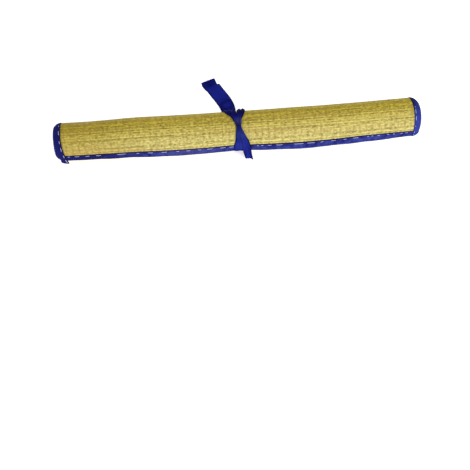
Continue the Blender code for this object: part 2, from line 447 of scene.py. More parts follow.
def add_bump(tree, shader, height, strength, distance):
    """Raise a finish by a height that changes over the surface."""
    bump = tree.nodes.new("ShaderNodeBump")
    bump.inputs["Strength"].default_value = strength
    bump.inputs["Distance"].default_value = distance
    tree.links.new(height, bump.inputs["Height"])
    tree.links.new(bump.outputs[0], shader.inputs["Normal"])


straw, tree, shader = new_finish("straw")
along, across = map_parts(tree, "stalks")
stalk_number = work(tree, "FLOOR", across)
own_tone = tree.nodes.new("ShaderNodeTexWhiteNoise")
own_tone.noise_dimensions = "1D"
tree.links.new(stalk_number, own_tone.inputs["W"])
streaks = spread(tree, along, 9.0, stalk_number, 7.31, detail=3.0)
patches = spread(tree, along, 220.0, stalk_number, 0.85, detail=1.0)
blotches = spread(tree, along, 85.0, across, 0.35)
bundles = spread(tree, along, 3.0, across, 0.13, detail=1.0)
fibres = spread(tree, along, 120.0, across, 14.0, detail=4.0, roughness=0.7)
tone = work(tree, "MULTIPLY", own_tone.outputs["Value"], 0.34)
for unevenness, weight in ((streaks, 0.42), (patches, 1.30), (blotches, 0.55), (fibres, 0.55)):
    tone = work(tree, "MULTIPLY_ADD", unevenness, weight, tone)
# Painted shade: the straw's tone is darker towards its left end
tone = work(tree, "ADD", tone, between(tree, along, *LEFT_PART, -0.16, 0.0))
tone = between(tree, tone, *TONE_RANGE)
shaded_top = blend_colours(tree, tone, *SHADED_TOP_STRAW)
pale = blend_colours(tree, tone, *PALE_STRAW)
# Painted shade: over the top and down the back, the straw takes the darker, more saturated colours
over_the_top = between(tree, across, 7.0, 26.0)
down_behind = between(tree, across, 40.0, 58.0, 1.0, 0.35)
painted_shade_straw = blend_colours(tree, work(tree, "MINIMUM", over_the_top, down_behind), pale, shaded_top)
# Painted shade: towards the left end, the straw takes more of the left colour
painted_shade_straw = blend_colours(tree, between(tree, along, *LEFT_PART, 0.24, 0.0), painted_shade_straw, LEFT_SHADE_STRAW)
warm = between(tree, bundles, 0.50, 0.66, 0.0, 0.45)
tinted = blend_colours(tree, warm, painted_shade_straw, WARM_STRAW)
# Painted shade: darker in the valleys between stalks, and in patches on alternate stalks beside each
# warp line
off_crest = work(tree, "ABSOLUTE", work(tree, "SUBTRACT", work(tree, "FRACT", across), 0.5))
valley_shade = between(tree, off_crest, 0.30, 0.50, 0.0, 0.62)
lines_passed = work(tree, "MULTIPLY_ADD", along, WARP_LINES / (2 * STRAW_END), WARP_LINES / 2)
off_line = work(tree, "ABSOLUTE", work(tree, "SUBTRACT", work(tree, "FRACT", lines_passed), 0.5))
near_line = between(tree, off_line, 0.05, 0.20, 1.0, 0.0)
held = work(tree, "MULTIPLY", near_line, between(tree, bundles, 0.40, 0.60, 0.0, 0.34))
shade = work(tree, "MAXIMUM", valley_shade, held)
feed(tree, blend_colours(tree, shade, tinted, SHADED_STRAW), shader.inputs["Base Color"])
feed(tree, between(tree, fibres, 0.3, 0.7, 0.48, 0.66), shader.inputs["Roughness"])
shader.inputs["Specular IOR Level"].default_value = 0.35
add_bump(tree, shader, fibres, 0.7, 0.0002)

mat = link_piece("straw_sheet", straw_points, straw_faces, straw_marks, "stalks", straw)
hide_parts("mat")

# The warp threads
# A thin twisted thread runs round the sheet at each warp line. It shows as a short stitch
# over every other stalk, and the next thread shows over the stalks in between.
THREAD_RADIUS = 0.00022
THREAD_SIDES = 5
THREAD_STEPS = 5
THREAD_TAPER = 0.8
THREAD_PROUD = 0.00012
THREAD_DIVE = 0.00050
TWINE_COLOURS = ((0.26, 0.195, 0.04), (0.48, 0.39, 0.13))

thread_points = []
thread_faces = []
thread_marks = []


def facing(angle):
    """The way straight out of the roll, by the angle turned up from its front."""
    return Vector((0.0, -math.cos(angle), math.sin(angle)))


def lay_thread(points, outward, radius, sides, end_share):
    """Add a length of round thread through points, thinner at its two ends."""
    first = len(thread_points)
    gone = 0.0
    for i, point in enumerate(points):
        near = points[max(0, i - 1)]
        far = points[min(len(points) - 1, i + 1)]
        run = (far - near).normalized()
        side = run.cross(outward[i]).normalized()
        up = side.cross(run)
        share = i / (len(points) - 1)
        gone += (point - near).length
        thick = radius * (end_share + (1 - end_share) * min(1.0, 4 * min(share, 1 - share)))
        for j in range(sides):
            turn = math.tau * j / sides
            thread_points.append(point + (side * math.cos(turn) + up * math.sin(turn)) * thick)
            thread_marks.append((j / sides, gone))
    thread_faces.extend(ring_faces(len(points), sides, first))
    thread_faces.append(tuple(first + j for j in range(sides)))
    thread_faces.append(tuple(first + (len(points) - 1) * sides + j for j in range(sides)))


for number, (start, width, crest) in enumerate(stalks):
    for line, place in enumerate(warp_places):
        if (line + number) % 2 == 0:
            continue
        run = []
        outward = []
        for i in range(THREAD_STEPS):
            share = i / (THREAD_STEPS - 1)
            here = start + share * width / ROLL_RADIUS
            above = crest - PINCH_DEPTH + slow_swell(place, here)
            above += THREAD_PROUD - THREAD_DIVE * (2 * share - 1) ** 4
            run.append(on_roll(place, here, above))
            outward.append(facing(LOOSE_ANGLE + here))
        lay_thread(run, outward, THREAD_RADIUS, THREAD_SIDES, THREAD_TAPER)

warp_twine, tree, shader = new_finish("warp_twine")
lumps = tree.nodes.new("ShaderNodeTexNoise")
lumps.inputs["Scale"].default_value = 900.0
feed(tree, blend_colours(tree, lumps.outputs["Fac"], *TWINE_COLOURS), shader.inputs["Base Color"])
shader.inputs["Roughness"].default_value = 0.8
warp_threads = link_piece(
    "warp_threads", thread_points, thread_faces, thread_marks, "twist", warp_twine
)

# The bindings of the two long edges
# A strip of woven cotton, folded over the edge of the sheet and sewn down, is wound with
# it, so each end of the roll shows a spiral of folded cloth. The left one's cut corner
# hangs below the loose edge.
INNER_EDGE_FACET = 275
INNER_EDGE_AT = at_facet(INNER_EDGE_FACET)
# How the folded edge draws in to the axis and thins, and the hanging corner curls back
END_DRAW = 0.20
EDGE_THINNING = 0.45
DRAW_POWER = 2.5
CURL_BACK = math.radians(9)
CURL_LENGTH = 0.004
SLACK_SWING = 0.75
SLACK_DROP = 0.4
LEFT_CORNER = 0.022
FLAT_CORNER = 0.7
CLOTH_PROUD = 0.00022
PUCKER = 0.00012
END_WAVE = 0.0003
SEEN_STEP = 0.0013
CORNER_STEP = 0.0011
HAIR = 0.0001
THREADS_PER_METRE = 1800.0
# The span over which the cloth is painted darker, as shade, towards its left end
LEFT_SHADE_SPAN = (-0.28, -0.16)
# From the straw outwards in millimetres, and how proud the outer face is there
END_SECTION = (
    (0.30, 0.30), (0.38, 1.0), (1.2, 1.1), (2.6, 0.75), (4.0, 1.05), (6.0, 1.0), (8.5, 1.0),
    (10.6, 1.0), (12.0, 0.85), (12.75, 0.35),
)
# Back along the inner face, and how much it is rounded off there, in millimetres
END_INNER_FACE = ((12.75, 0.2), (12.0, 0.0), (10.0, 0.0), (6.0, 0.0), (0.3, 0.0))
# Places painted lighter as highlights and darker as shade: middle of the place, reach, how much, and
# colour
BINDING_LIGHT_AND_SHADE = (
    ((0.298, 0.030, 0.058), 0.034, 0.80, (0.003, 0.002, 0.045)),
    ((-0.235, -0.034, 0.032), 0.075, 0.50, (0.010, 0.009, 0.055)),
    ((-0.080, -0.035, 0.031), 0.060, 0.25, (0.080, 0.070, 0.220)),
    ((0.297, -0.022, 0.050), 0.035, 0.50, (0.030, 0.050, 0.300)),
)


def drawn_in(reach):
    """How much a binding thins this far across, and its share of the way out from the axis."""
    drawn = (reach * MM / BINDING) ** DRAW_POWER
    return SHEET * EDGE_THINNING * drawn / 2, 1 - END_DRAW * drawn


def end_ring(side, place_at, drift):
    """The section across an end binding: its outer face, the fold, and its inner face."""
    ring = []
    for reach, proud in END_SECTION:
        thinned, draw = drawn_in(reach)
        above = proud * CLOTH_PROUD - thinned + drift * math.sin(math.pi * reach * MM / BINDING)
        ring.append(place_at(side * (STRAW_END + reach * MM), above, draw))
    ring.append(place_at(side * HALF, -SHEET / 2, 1 - END_DRAW))
    for reach, rounded in END_INNER_FACE:
        thinned, draw = drawn_in(reach)
        ring.append(place_at(side * (STRAW_END + reach * MM), thinned + rounded * MM - SHEET, draw))
    return ring


def hanging(x, drop, above, draw=1.0):
    """A place on the sheet past its last turn: it hangs straight, then turns back a little."""
    draw = 1 - (1 - draw) * (1 - FLAT_CORNER * min(1.0, drop / LEFT_CORNER) ** 2)
    angle = LOOSE_ANGLE
    middle = ROLL_RADIUS - SHEET / 2
    y = -middle * math.cos(angle)
    z = middle * math.sin(angle)
    for start, stop in ((0.0, BINDING / 2), (BINDING / 2, drop)):
        length = max(0.0, min(drop, stop) - start)
        if start > 0.0 and length > 0.0:
            angle -= CURL_BACK * min(1.0, length / CURL_LENGTH)
        y -= length * math.sin(angle)
        z -= length * math.cos(angle)
    away = above + SHEET / 2
    y -= away * math.cos(angle) + slack(x) * (SLACK_FORWARD + SLACK_SWING * drop / BINDING)
    z += away * math.sin(angle) - slack(x) * (1.0 + SLACK_DROP * drop / BINDING)
    return from_axis(skewed(x, -drop), y * draw, z * draw)


def weave_group():
    """Plain weave, its threads over and under each other, with their slubs and wear."""
    group = bpy.data.node_groups.new("plain_weave", "ShaderNodeTree")
    for label, value in (("Across", 0.0), ("Along", 0.0), ("Threads per metre", THREADS_PER_METRE)):
        socket = group.interface.new_socket(name=label, in_out="INPUT", socket_type="NodeSocketFloat")
        socket.default_value = value
    for label in ("Height", "Slub", "Wear"):
        group.interface.new_socket(name=label, in_out="OUTPUT", socket_type="NodeSocketFloat")
    across, along, threads = group.nodes.new("NodeGroupInput").outputs[:3]
    made = group.nodes.new("NodeGroupOutput")
    crossing = [
        work(group, "SINE", work(group, "MULTIPLY", work(group, "MULTIPLY", way, threads), math.pi))
        for way in (across, along)
    ]
    height = work(group, "MULTIPLY_ADD", work(group, "MULTIPLY", *crossing), 0.5, 0.5)
    group.links.new(height, made.inputs["Height"])
    group.links.new(spread(group, across, 700.0, along, 60.0), made.inputs["Slub"])
    group.links.new(spread(group, across, 90.0, along, 90.0, detail=3.0), made.inputs["Wear"])
    return group


plain_weave = weave_group()


def dyed_cotton(
    name, deep, bright, wear_and_highlight, roughness, sheen, dark_edge, edge_colour, lit_and_shaded_places, fold_at=0.0
):
    """A dyed, woven cotton: its colour drifts, its threads show, and its high places are lighter,
    partly wear and partly painted highlight. It is painted darker towards the left end as shade,
    lighter and darker at listed places as highlight and shade, and dark along one edge.
    """
    material, tree, shader = new_finish(name)
    across, along = map_parts(tree, "cloth")
    weave = tree.nodes.new("ShaderNodeGroup")
    weave.node_tree = plain_weave
    tree.links.new(across, weave.inputs["Across"])
    tree.links.new(along, weave.inputs["Along"])
    slub = weave.outputs["Slub"]
    where = tree.nodes.new("ShaderNodeTexCoord").outputs["Object"]
    where_parts = tree.nodes.new("ShaderNodeSeparateXYZ")
    tree.links.new(where, where_parts.inputs[0])
    # Painted shade: the cloth is darker towards the left end, added to the weave's uneven wear
    darker_left = between(tree, where_parts.outputs[0], *LEFT_SHADE_SPAN, -0.26, 0.0)
    wear_and_left_shade = work(tree, "ADD", darker_left, weave.outputs["Wear"])
    colour = blend_colours(tree, between(tree, wear_and_left_shade, 0.34, 0.64), deep, bright)
    # The high places of the threads are lighter, partly wear and partly painted highlight
    threads = work(tree, "MULTIPLY", weave.outputs["Height"], slub)
    colour = blend_colours(tree, between(tree, threads, 0.25, 0.75, 0.0, 0.35), colour, wear_and_highlight)
    # Dark along the edge where across is small: painted shade along the ribbon's edges, and a dark
    # line along the binding's edge by the straw
    at_edge = between(tree, across, 0.4 * dark_edge, dark_edge, 0.92, 0.0)
    colour = blend_colours(tree, at_edge, colour, edge_colour)
    # The listed places are painted lighter as highlights and darker as shade
    for place, reach, share, painted_tone in lit_and_shaded_places:
        away = tree.nodes.new("ShaderNodeVectorMath")
        away.operation = "DISTANCE"
        tree.links.new(where, away.inputs[0])
        away.inputs[1].default_value = place
        there = between(tree, away.outputs["Value"], 0.3 * reach, reach, share, 0.0)
        colour = blend_colours(tree, there, colour, painted_tone)
    # A short stretch of the fold is lighter, partly wear and partly painted highlight
    if fold_at:
        off_fold = work(tree, "ABSOLUTE", work(tree, "SUBTRACT", across, fold_at))
        on_fold = between(tree, off_fold, 0.0003, 0.0011, 0.6, 0.0)
        fold_wear_and_highlight = work(tree, "MULTIPLY", on_fold, between(tree, along, 0.20, 0.23))
        colour = blend_colours(tree, fold_wear_and_highlight, colour, wear_and_highlight)
    feed(tree, colour, shader.inputs["Base Color"])
    uneven = between(tree, slub, 0.3, 0.7, roughness - 0.05, roughness + 0.07)
    feed(tree, uneven, shader.inputs["Roughness"])
    shader.inputs["Specular IOR Level"].default_value = 0.03
    shader.inputs["Sheen Weight"].default_value = sheen
    shader.inputs["Sheen Roughness"].default_value = 0.5
    shader.inputs["Sheen Tint"].default_value = (*wear_and_highlight, 1.0)
    add_bump(tree, shader, weave.outputs["Height"], 0.6, 0.00015)
    return material


binding_cloth = dyed_cotton(
    "binding_cloth",
    deep=(0.006, 0.006, 0.100),
    bright=(0.030, 0.042, 0.220),
    wear_and_highlight=(0.056, 0.078, 0.31),
    roughness=0.80,
    sheen=0.03,
    dark_edge=0.0021,
    edge_colour=(0.012, 0.006, 0.022),
    lit_and_shaded_places=BINDING_LIGHT_AND_SHADE,
    fold_at=0.0131,
)


def measured(rings):
    """Where each point of a cloth's rings lies on it: the way round its ring, and along it."""
    marks = []
    gone = 0.0
    for i, ring in enumerate(rings):
        gone += (ring[0] - rings[max(0, i - 1)][0]).length
        round_it = 0.0
        for j, point in enumerate(ring):
            round_it += (point - ring[max(0, j - 1)]).length
            marks.append((round_it, gone))
    return marks


def ringed_cloth(name, rings, material, marks=None):
    """A closed piece of cloth through rings of points, with a flat face over each cut end."""
    count = len(rings[0])
    points = [point for ring in rings for point in ring]
    faces = ring_faces(len(rings), count)
    faces.append(tuple(range(count)))
    faces.append(tuple(len(points) - count + j for j in range(count)))
    return link_piece(name, points, faces, marks or measured(rings), "cloth", material)


def bind_end(name, side, corner):
    """The binding of one end, from its corner below the loose edge to the inner edge."""
    rings = []
    drop = corner
    while drop > 2 * HAIR:
        drift = PUCKER * math.sin(drop * 900.0 + side)
        rings.append(end_ring(side, lambda x, above, draw: hanging(x, drop, above, draw), drift))
        drop -= CORNER_STEP
    turned = 0.0
    while turned < INNER_EDGE_AT + HAIR:
        run = turned * ROLL_RADIUS
        seen = turned < SEEN_TURN
        drift = PUCKER * math.sin(run * 1150.0 + side)
        drift += END_WAVE * noise.noise((run * 60.0, side * 5.0, 1.0))
        rings.append(
            end_ring(side, lambda x, above, draw: on_roll(x, turned, above, draw), drift * seen)
        )
        step = SEEN_STEP / ROLL_RADIUS if seen else COARSE_STEP
        turned += min(step, max(2 * HAIR, INNER_EDGE_AT - turned))
    return ringed_cloth(name, rings, binding_cloth)


def declare_binding(node):
    """Hide the model's part that a binding stands for.
    """
    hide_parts(node)


left_binding = bind_end("left_end_binding", -1, LEFT_CORNER)
declare_binding("binding_left")
right_binding = bind_end("right_end_binding", 1, BINDING)
declare_binding("binding_right")

# The bindings of the two short edges
# The same cotton strip covers the loose edge, which hangs on the front of the roll, and the
# innermost edge in the core. The hanging one is puckered by its stitches.
LOOSE_SECTION = (
    (0.30, 0.2), (0.38, 1.0), (1.2, 1.1), (2.4, 0.7), (3.8, 1.05), (6.0, 1.0), (8.5, 1.0),
    (11.0, 0.95), (12.4, 0.7), (12.9, 0.1),
)
LOOSE_INNER_FACE = ((12.9, 0.3), (12.2, 0.0), (9.0, 0.0), (5.0, 0.0), (0.3, 0.0))
LOOSE_STEP = 0.0020
LOOSE_PUCKER = 0.0001
LOOSE_WAVE = 0.0009
SWING_AT = 0.208
SWING_SPAN = 0.055
SWING_OUT = 0.0026
INNER_ROWS = 12
GAP = 0.0003

rings = []
x = -STRAW_END
while x < STRAW_END + HAIR:
    wave = noise.noise((x * 22.0, 4.0, 0.0))
    swung_out = swell(x, SWING_AT, SWING_SPAN, 2)
    swing = LOOSE_WAVE * wave + SWING_OUT * swung_out
    longer = 0.06 * wave + 0.10 * swung_out
    pucker = LOOSE_PUCKER * math.sin(x * 900.0)
    ring = []
    for reach, proud in LOOSE_SECTION:
        low = (reach * MM / BINDING) ** 2
        out = swing * low + pucker * (1 - low)
        ring.append(hanging(x, reach * MM * (1 + longer * low), proud * CLOTH_PROUD + out))
    ring.append(hanging(x, BINDING * (1 + longer), -SHEET / 2 + swing))
    for reach, rounded in LOOSE_INNER_FACE:
        low = (reach * MM / BINDING) ** 2
        ring.append(hanging(x, reach * MM * (1 + longer * low), -SHEET + rounded * MM + swing * low))
    rings.append(ring)
    x += LOOSE_STEP
loose_binding = ringed_cloth("loose_edge_binding", rings, binding_cloth)
declare_binding("binding_loose_edge")

rings = []
turned = INNER_BINDING_AT + GAP / (CORE_RADIUS + SHEET / 2)
while turned < INNER_EDGE_AT + HAIR:
    rings.append(
        [on_roll(x, turned) for x in inner_columns[::-1]]
        + [on_roll(x, turned, -SHEET) for x in inner_columns]
    )
    turned += (INNER_EDGE_AT - INNER_BINDING_AT) / INNER_ROWS
inner_binding = ringed_cloth("inner_edge_binding", rings, binding_cloth)
declare_binding("binding_inner_edge")

# The stitching
# White cotton thread holds the bindings down in a running stitch a little inside their
# inner edges. Its stitches are long and uneven: each pair of numbers is where one starts
# and stops, in millimetres along its seam.
STITCH_RADIUS = 0.00036
STITCH_SIDES = 6
STITCH_TAPER = 0.5
STITCH_STEP = 0.0012
STITCH_DIVE = 0.0007
END_SEAM_MM = 2.6
LOOSE_SEAM = 0.0024
SEAM_PROUD = CLOTH_PROUD * 0.8
TWISTS_PER_METRE = 700.0
COTTON_COLOURS = ((0.33, 0.35, 0.60), (0.66, 0.68, 0.88))
# The colour of the painted shade in the thread's twist grooves
GROOVE_SHADE_COLOUR = (0.14, 0.15, 0.36)
LOOSE_EDGE_STITCHES = (
    (-284, -279), (-272.4, -263.2), (-254.2, -245.9), (-236.2, -226.4), (-201, -183.5),
    (-168.5, -163), (-150, -141), (-128, -118), (-104, -98), (-88, -80), (-69, -62),
    (-54, -44), (-32.5, -22.4), (-18, -9.4), (0, 8), (27.5, 31.5), (34.0, 39.4),
    (45.4, 52.2), (58.5, 71.4), (88.3, 105.6), (110, 124.3), (132, 138), (150, 158),
    (170, 176), (186, 196), (209.5, 213.1), (216.3, 220.6), (226.5, 232.3), (243, 247.5),
    (252.6, 256.8), (265.5, 269.7), (273.5, 279),
)
LEFT_END_STITCHES = (
    (-20.5, -9), (-5, 2), (9, 17), (23, 29), (38, 47), (56, 61), (71, 83), (95, 102),
    (112, 121), (133, 141), (152, 163), (177, 186), (196, 203),
)
RIGHT_END_STITCHES = (
    (-11, -7), (-5, -0.5), (8.5, 10.5), (19.5, 28), (31, 39.5), (42.5, 44), (70, 79),
    (88, 94), (105, 117), (129, 136), (147, 158), (170, 178), (190, 200),
)

thread_points = []
thread_faces = []
thread_marks = []


def seam_spot(place):
    """A seam's place on the cloth and the way straight out of it, from places by height."""
    point = place(SEAM_PROUD)
    return point, (place(SEAM_PROUD + MM) - point).normalized()


def seam_on_loose_edge(x):
    """The seam that runs along the loose edge."""
    return seam_spot(lambda above: hanging(x, LOOSE_SEAM, above))


def seam_round_end(side):
    """The seam of an end binding, which runs up its hanging corner and round the roll."""
    x = side * (STRAW_END + END_SEAM_MM * MM)
    draw = drawn_in(END_SEAM_MM)[1]

    def place_at(run):
        if run < 0:
            return seam_spot(lambda above: hanging(x, -run, above, draw))
        return seam_spot(lambda above: on_roll(x, run / ROLL_RADIUS, above, draw))

    return place_at


def sew(place_at, stitches):
    """Running stitches along a seam that place_at gives."""
    for start, stop in stitches:
        length = (stop - start) * MM
        steps = max(4, round(length / STITCH_STEP))
        run = []
        outward = []
        for i in range(steps + 1):
            share = i / steps
            point, away = place_at(start * MM + length * share)
            stand = point + away * (STITCH_RADIUS * 0.55 - STITCH_DIVE * (2 * share - 1) ** 6)
            stand.z = max(stand.z, STITCH_RADIUS)
            run.append(stand)
            outward.append(away)
        lay_thread(run, outward, STITCH_RADIUS, STITCH_SIDES, STITCH_TAPER)


sew(seam_on_loose_edge, LOOSE_EDGE_STITCHES)
sew(seam_round_end(-1), LEFT_END_STITCHES)
sew(seam_round_end(1), RIGHT_END_STITCHES)

white_thread, tree, shader = new_finish("white_thread")
lumps = tree.nodes.new("ShaderNodeTexNoise")
lumps.inputs["Scale"].default_value = 1400.0
cotton = blend_colours(tree, lumps.outputs["Fac"], *COTTON_COLOURS)
round_it, along = map_parts(tree, "twist")
twist = work(tree, "MULTIPLY_ADD", along, TWISTS_PER_METRE, round_it)
twist_wave = work(tree, "SINE", work(tree, "MULTIPLY", twist, math.tau))
# Painted shade in the grooves between the twisted plies of the thread
groove_shade = between(tree, twist_wave, -1.0, -0.4, 0.45, 0.0)
feed(tree, blend_colours(tree, groove_shade, cotton, GROOVE_SHADE_COLOUR), shader.inputs["Base Color"])
shader.inputs["Roughness"].default_value = 0.7
stitching = link_piece(
    "binding_stitches", thread_points, thread_faces, thread_marks, "twist", white_thread
)

# The ribbon
# One cotton ribbon is sewn under the middle of the loose edge. Its two halves go round the
# roll, gather and cross in a half knot on top, and leave a long tail behind on the floor
# and a short one down the front. Where it narrows, its sides turn under and it pleats.
RIBBON_WIDTH = 0.0265
RIBBON_CLOTH = 0.0005
LAYER = 0.0006
LEAST_HEM = 0.0007
LEAST_TOP = 0.0008
LAPPED_FROM = 0.001
LAPPED_OVER = 0.002
PLEATED_MORE = 0.05
PLEAT_FULLNESS = 1.25
CRUMPLE = 0.0009
ARCH_DRIFT = 0.0004
TOP_POINTS = 25
HEM_POINTS = 5
FOLD_POINTS = 4
ROW_SPACING = 0.0013
FRONT_LENGTH = 0.050
BACK_LENGTH = 0.161
LONG_TAIL_LENGTH = 0.190
SHORT_TAIL_LENGTH = 0.071
NOTCH_FROM_END = 0.0150
NOTCH_DEPTH = 0.0038
FLARE_FROM_END = 0.0110
FLARE_REACH = 0.0085
FLARE = 0.0012
CORNER_CUT = 0.0014
TORN_LENGTH = 0.0012
TORN = 0.0011
TORN_CORNERS = 0.0016
TIP_DROP = 0.0055
EDGE_MARK = 0.0003

# Against the roll: twentieths of a turn from the loose edge, place along the roll, width,
# height of the arch and clearance, in millimetres
FRONT_HALF = (
    (3.3, 0.0, 7.2, 0.8, 0.5), (3.0, 0.0, 8.0, 0.8, 0.4), (2.0, 0.0, 10.5, 0.7, 0.4),
    (1.0, 1.0, 15.0, 0.5, 0.4), (0.0, 3.0, 24.0, 0.3, 0.4),
)
BACK_HALF = (
    (19.2, 3.0, 24.4, 0.0, 0.2), (18.0, 3.0, 25.0, 0.0, 0.4),
    (17.0, 2.2, 25.0, 0.0, 0.4), (16.0, 1.2, 25.0, 0.0, 0.4),
    (15.0, 0.3, 25.0, 0.0, 0.4), (14.0, 0.0, 25.0, 0.0, 0.4), (13.0, 0.8, 25.0, 0.0, 0.4),
    (12.0, 2.2, 24.0, 0.2, 0.4), (11.0, 3.6, 22.5, 0.4, 0.4), (10.0, 5.0, 20.0, 0.6, 0.4),
    (9.0, 6.9, 15.0, 0.0, 0.3), (8.0, 6.7, 12.8, 0.0, 0.3), (7.0, 6.5, 12.6, 0.1, 0.3),
    (6.4, 6.2, 12.6, 0.4, 0.4), (5.9, 5.2, 12.4, 0.8, 0.4), (5.4, 3.8, 12.0, 1.2, 0.4),
    (4.9, 2.5, 11.4, 1.3, 0.4), (4.6, 1.7, 10.0, 1.2, 0.4), (4.3, 1.0, 8.9, 1.1, 0.45),
    (3.5, 0.5, 8.0, 1.0, 0.55),
)
LONG_TAIL = (
    (3.4, -0.4, 7.6, 1.2, 0.9), (4.0, -2.5, 9.0, 1.2, 0.8), (5.0, -6.8, 11.5, 1.2, 0.6),
    (6.0, -10.9, 17.4, 0.8, 0.5), (7.0, -12.0, 19.2, 0.5, 0.4), (8.0, -12.1, 20.0, 0.3, 0.5),
    (9.0, -11.9, 20.8, 0.2, 0.7),
)
SHORT_TAIL = (
    (3.6, 0.2, 7.2, 0.8, 1.5), (3.0, 0.5, 7.5, 0.8, 1.9), (2.0, 4.4, 9.0, 0.8, 1.7),
    (1.0, 8.6, 11.6, 0.7, 1.4), (0.0, 11.0, 12.8, 0.6, 1.5),
)
# Clear of the roll: the middle of the inner face in millimetres, the degrees that the outer
# face is turned up from the front and heads to the left, then the width and the arch
OVER_LOOSE_EDGE = (
    (3.2, -34.2, 31.6, 4, 0, 24.5, 0.0), (3.6, -34.2, 25.1, -12, 0, 25.0, 0.0),
    (4.6, -33.2, 23.4, -46, 0, 24.5, 0.0),
)
DOWN_TO_FLOOR = (
    (-11.5, 33.4, 28.0, 176, 0, 21.6, 0.2), (-11.1, 34.8, 18.0, 168, 0, 22.6, 0.4),
    (-10.6, 37.6, 9.0, 153, 1, 23.4, 0.6), (-10.2, 42.0, 3.4, 125, 4, 24.0, 0.9),
    (-9.9, 49.0, 0.6, 100, 9, 23.6, 1.2), (-10.1, 58.0, 0.0, 90, 13, 23.6, 1.5),
    (-12.3, 71.5, 0.0, 90, 19, 25.3, 1.9), (-17.9, 86.0, 0.0, 90, 25, 26.4, 1.9),
    (-27.2, 103.0, 0.0, 90, 29, 26.5, 1.6), (-34.9, 117.4, 0.0, 90, 28, 26.5, 1.2),
    (-42.6, 130.2, 0.0, 90, 21, 26.5, 0.8),
)
DOWN_THE_FRONT = (
    (11.7, -35.8, 31.6, 4, 0, 13.4, 0.6), (12.1, -35.8, 24.8, 0, 0, 13.4, 0.7),
    (13.3, -36.8, 16.0, 8, 0, 12.5, 0.8), (14.8, -38.6, 7.9, 12, 0, 12.2, 0.8),
)
# Places on the ribbon painted lighter as highlights and darker as shade, in the same columns as the
# binding's; the grey place on the knot is partly wear as well
RIBBON_LIGHT_AND_SHADE = (
    ((0.001, -0.007, 0.066), 0.010, 0.80, (0.042, 0.044, 0.155)),
    ((0.008, -0.025, 0.060), 0.018, 0.80, (0.020, 0.031, 0.185)),
    ((0.007, 0.015, 0.064), 0.019, 0.88, (0.0010, 0.0005, 0.040)),
    ((-0.012, 0.015, 0.066), 0.021, 0.85, (0.0014, 0.0008, 0.065)),
    ((-0.026, 0.098, 0.000), 0.024, 0.75, (0.0100, 0.0165, 0.240)),
    ((-0.040, 0.126, 0.000), 0.018, 0.80, (0.0020, 0.0026, 0.088)),
    ((0.002, -0.034, 0.038), 0.015, 0.75, (0.0150, 0.0235, 0.200)),
)
ribbon_cloth = dyed_cotton(
    "ribbon_cloth",
    deep=(0.0022, 0.0026, 0.085),
    bright=(0.0095, 0.0160, 0.225),
    wear_and_highlight=(0.022, 0.032, 0.29),
    roughness=0.78,
    sheen=0.0,
    # Its edges are painted dark as shade
    dark_edge=0.0026,
    edge_colour=(0.0004, 0.0004, 0.018),
    lit_and_shaded_places=RIBBON_LIGHT_AND_SHADE,
)


def against_roll(table, centred=False):
    """Stations of ribbon on the roll: middle, across, outward, width and arch.

    Centred ones take the bow of the roll's middle.
    """
    stations = []
    for facets, x, width, arch, clearance in table:
        turned = at_facet(facets)
        at = 0.0 if centred else x * MM
        middle = on_roll(x * MM, turned, clearance * MM, 1.0, at)
        outward = facing(LOOSE_ANGLE + turned)
        stations.append([*middle, 1.0, 0.0, 0.0, *outward, width * MM, arch * MM])
    return stations


def clear_of_roll(table):
    """The same for ribbon that hangs free or lies on the floor."""
    stations = []
    for x, y, z, turned_up, heading, width, arch in table:
        turn = Matrix.Rotation(math.radians(heading), 3, "Z")
        across = turn @ Vector((1.0, 0.0, 0.0))
        outward = turn @ facing(math.radians(turned_up))
        stations.append([x * MM, y * MM, z * MM, *across, *outward, width * MM, arch * MM])
    return stations


def smooth_between(t, before, start, stop, after):
    """The value a share t of the way from start to stop, on a smooth curve through all four."""
    squared = 2 * before - 5 * start + 4 * stop - after
    cubed = 3 * start - before - 3 * stop + after
    return 0.5 * (2 * start + (stop - before) * t + squared * t**2 + cubed * t**3)


def eased(stations):
    """More stations along a smooth curve through the given ones."""
    rows = []
    for i in range(len(stations) - 1):
        start = stations[i]
        stop = stations[i + 1]
        four = (stations[max(0, i - 1)], start, stop, stations[min(len(stations) - 1, i + 2)])
        steps = max(1, round((Vector(stop[:3]) - Vector(start[:3])).length / ROW_SPACING))
        for s in range(steps):
            rows.append([smooth_between(s / steps, *values) for values in zip(*four)])
    rows.append(list(stations[-1]))
    return rows


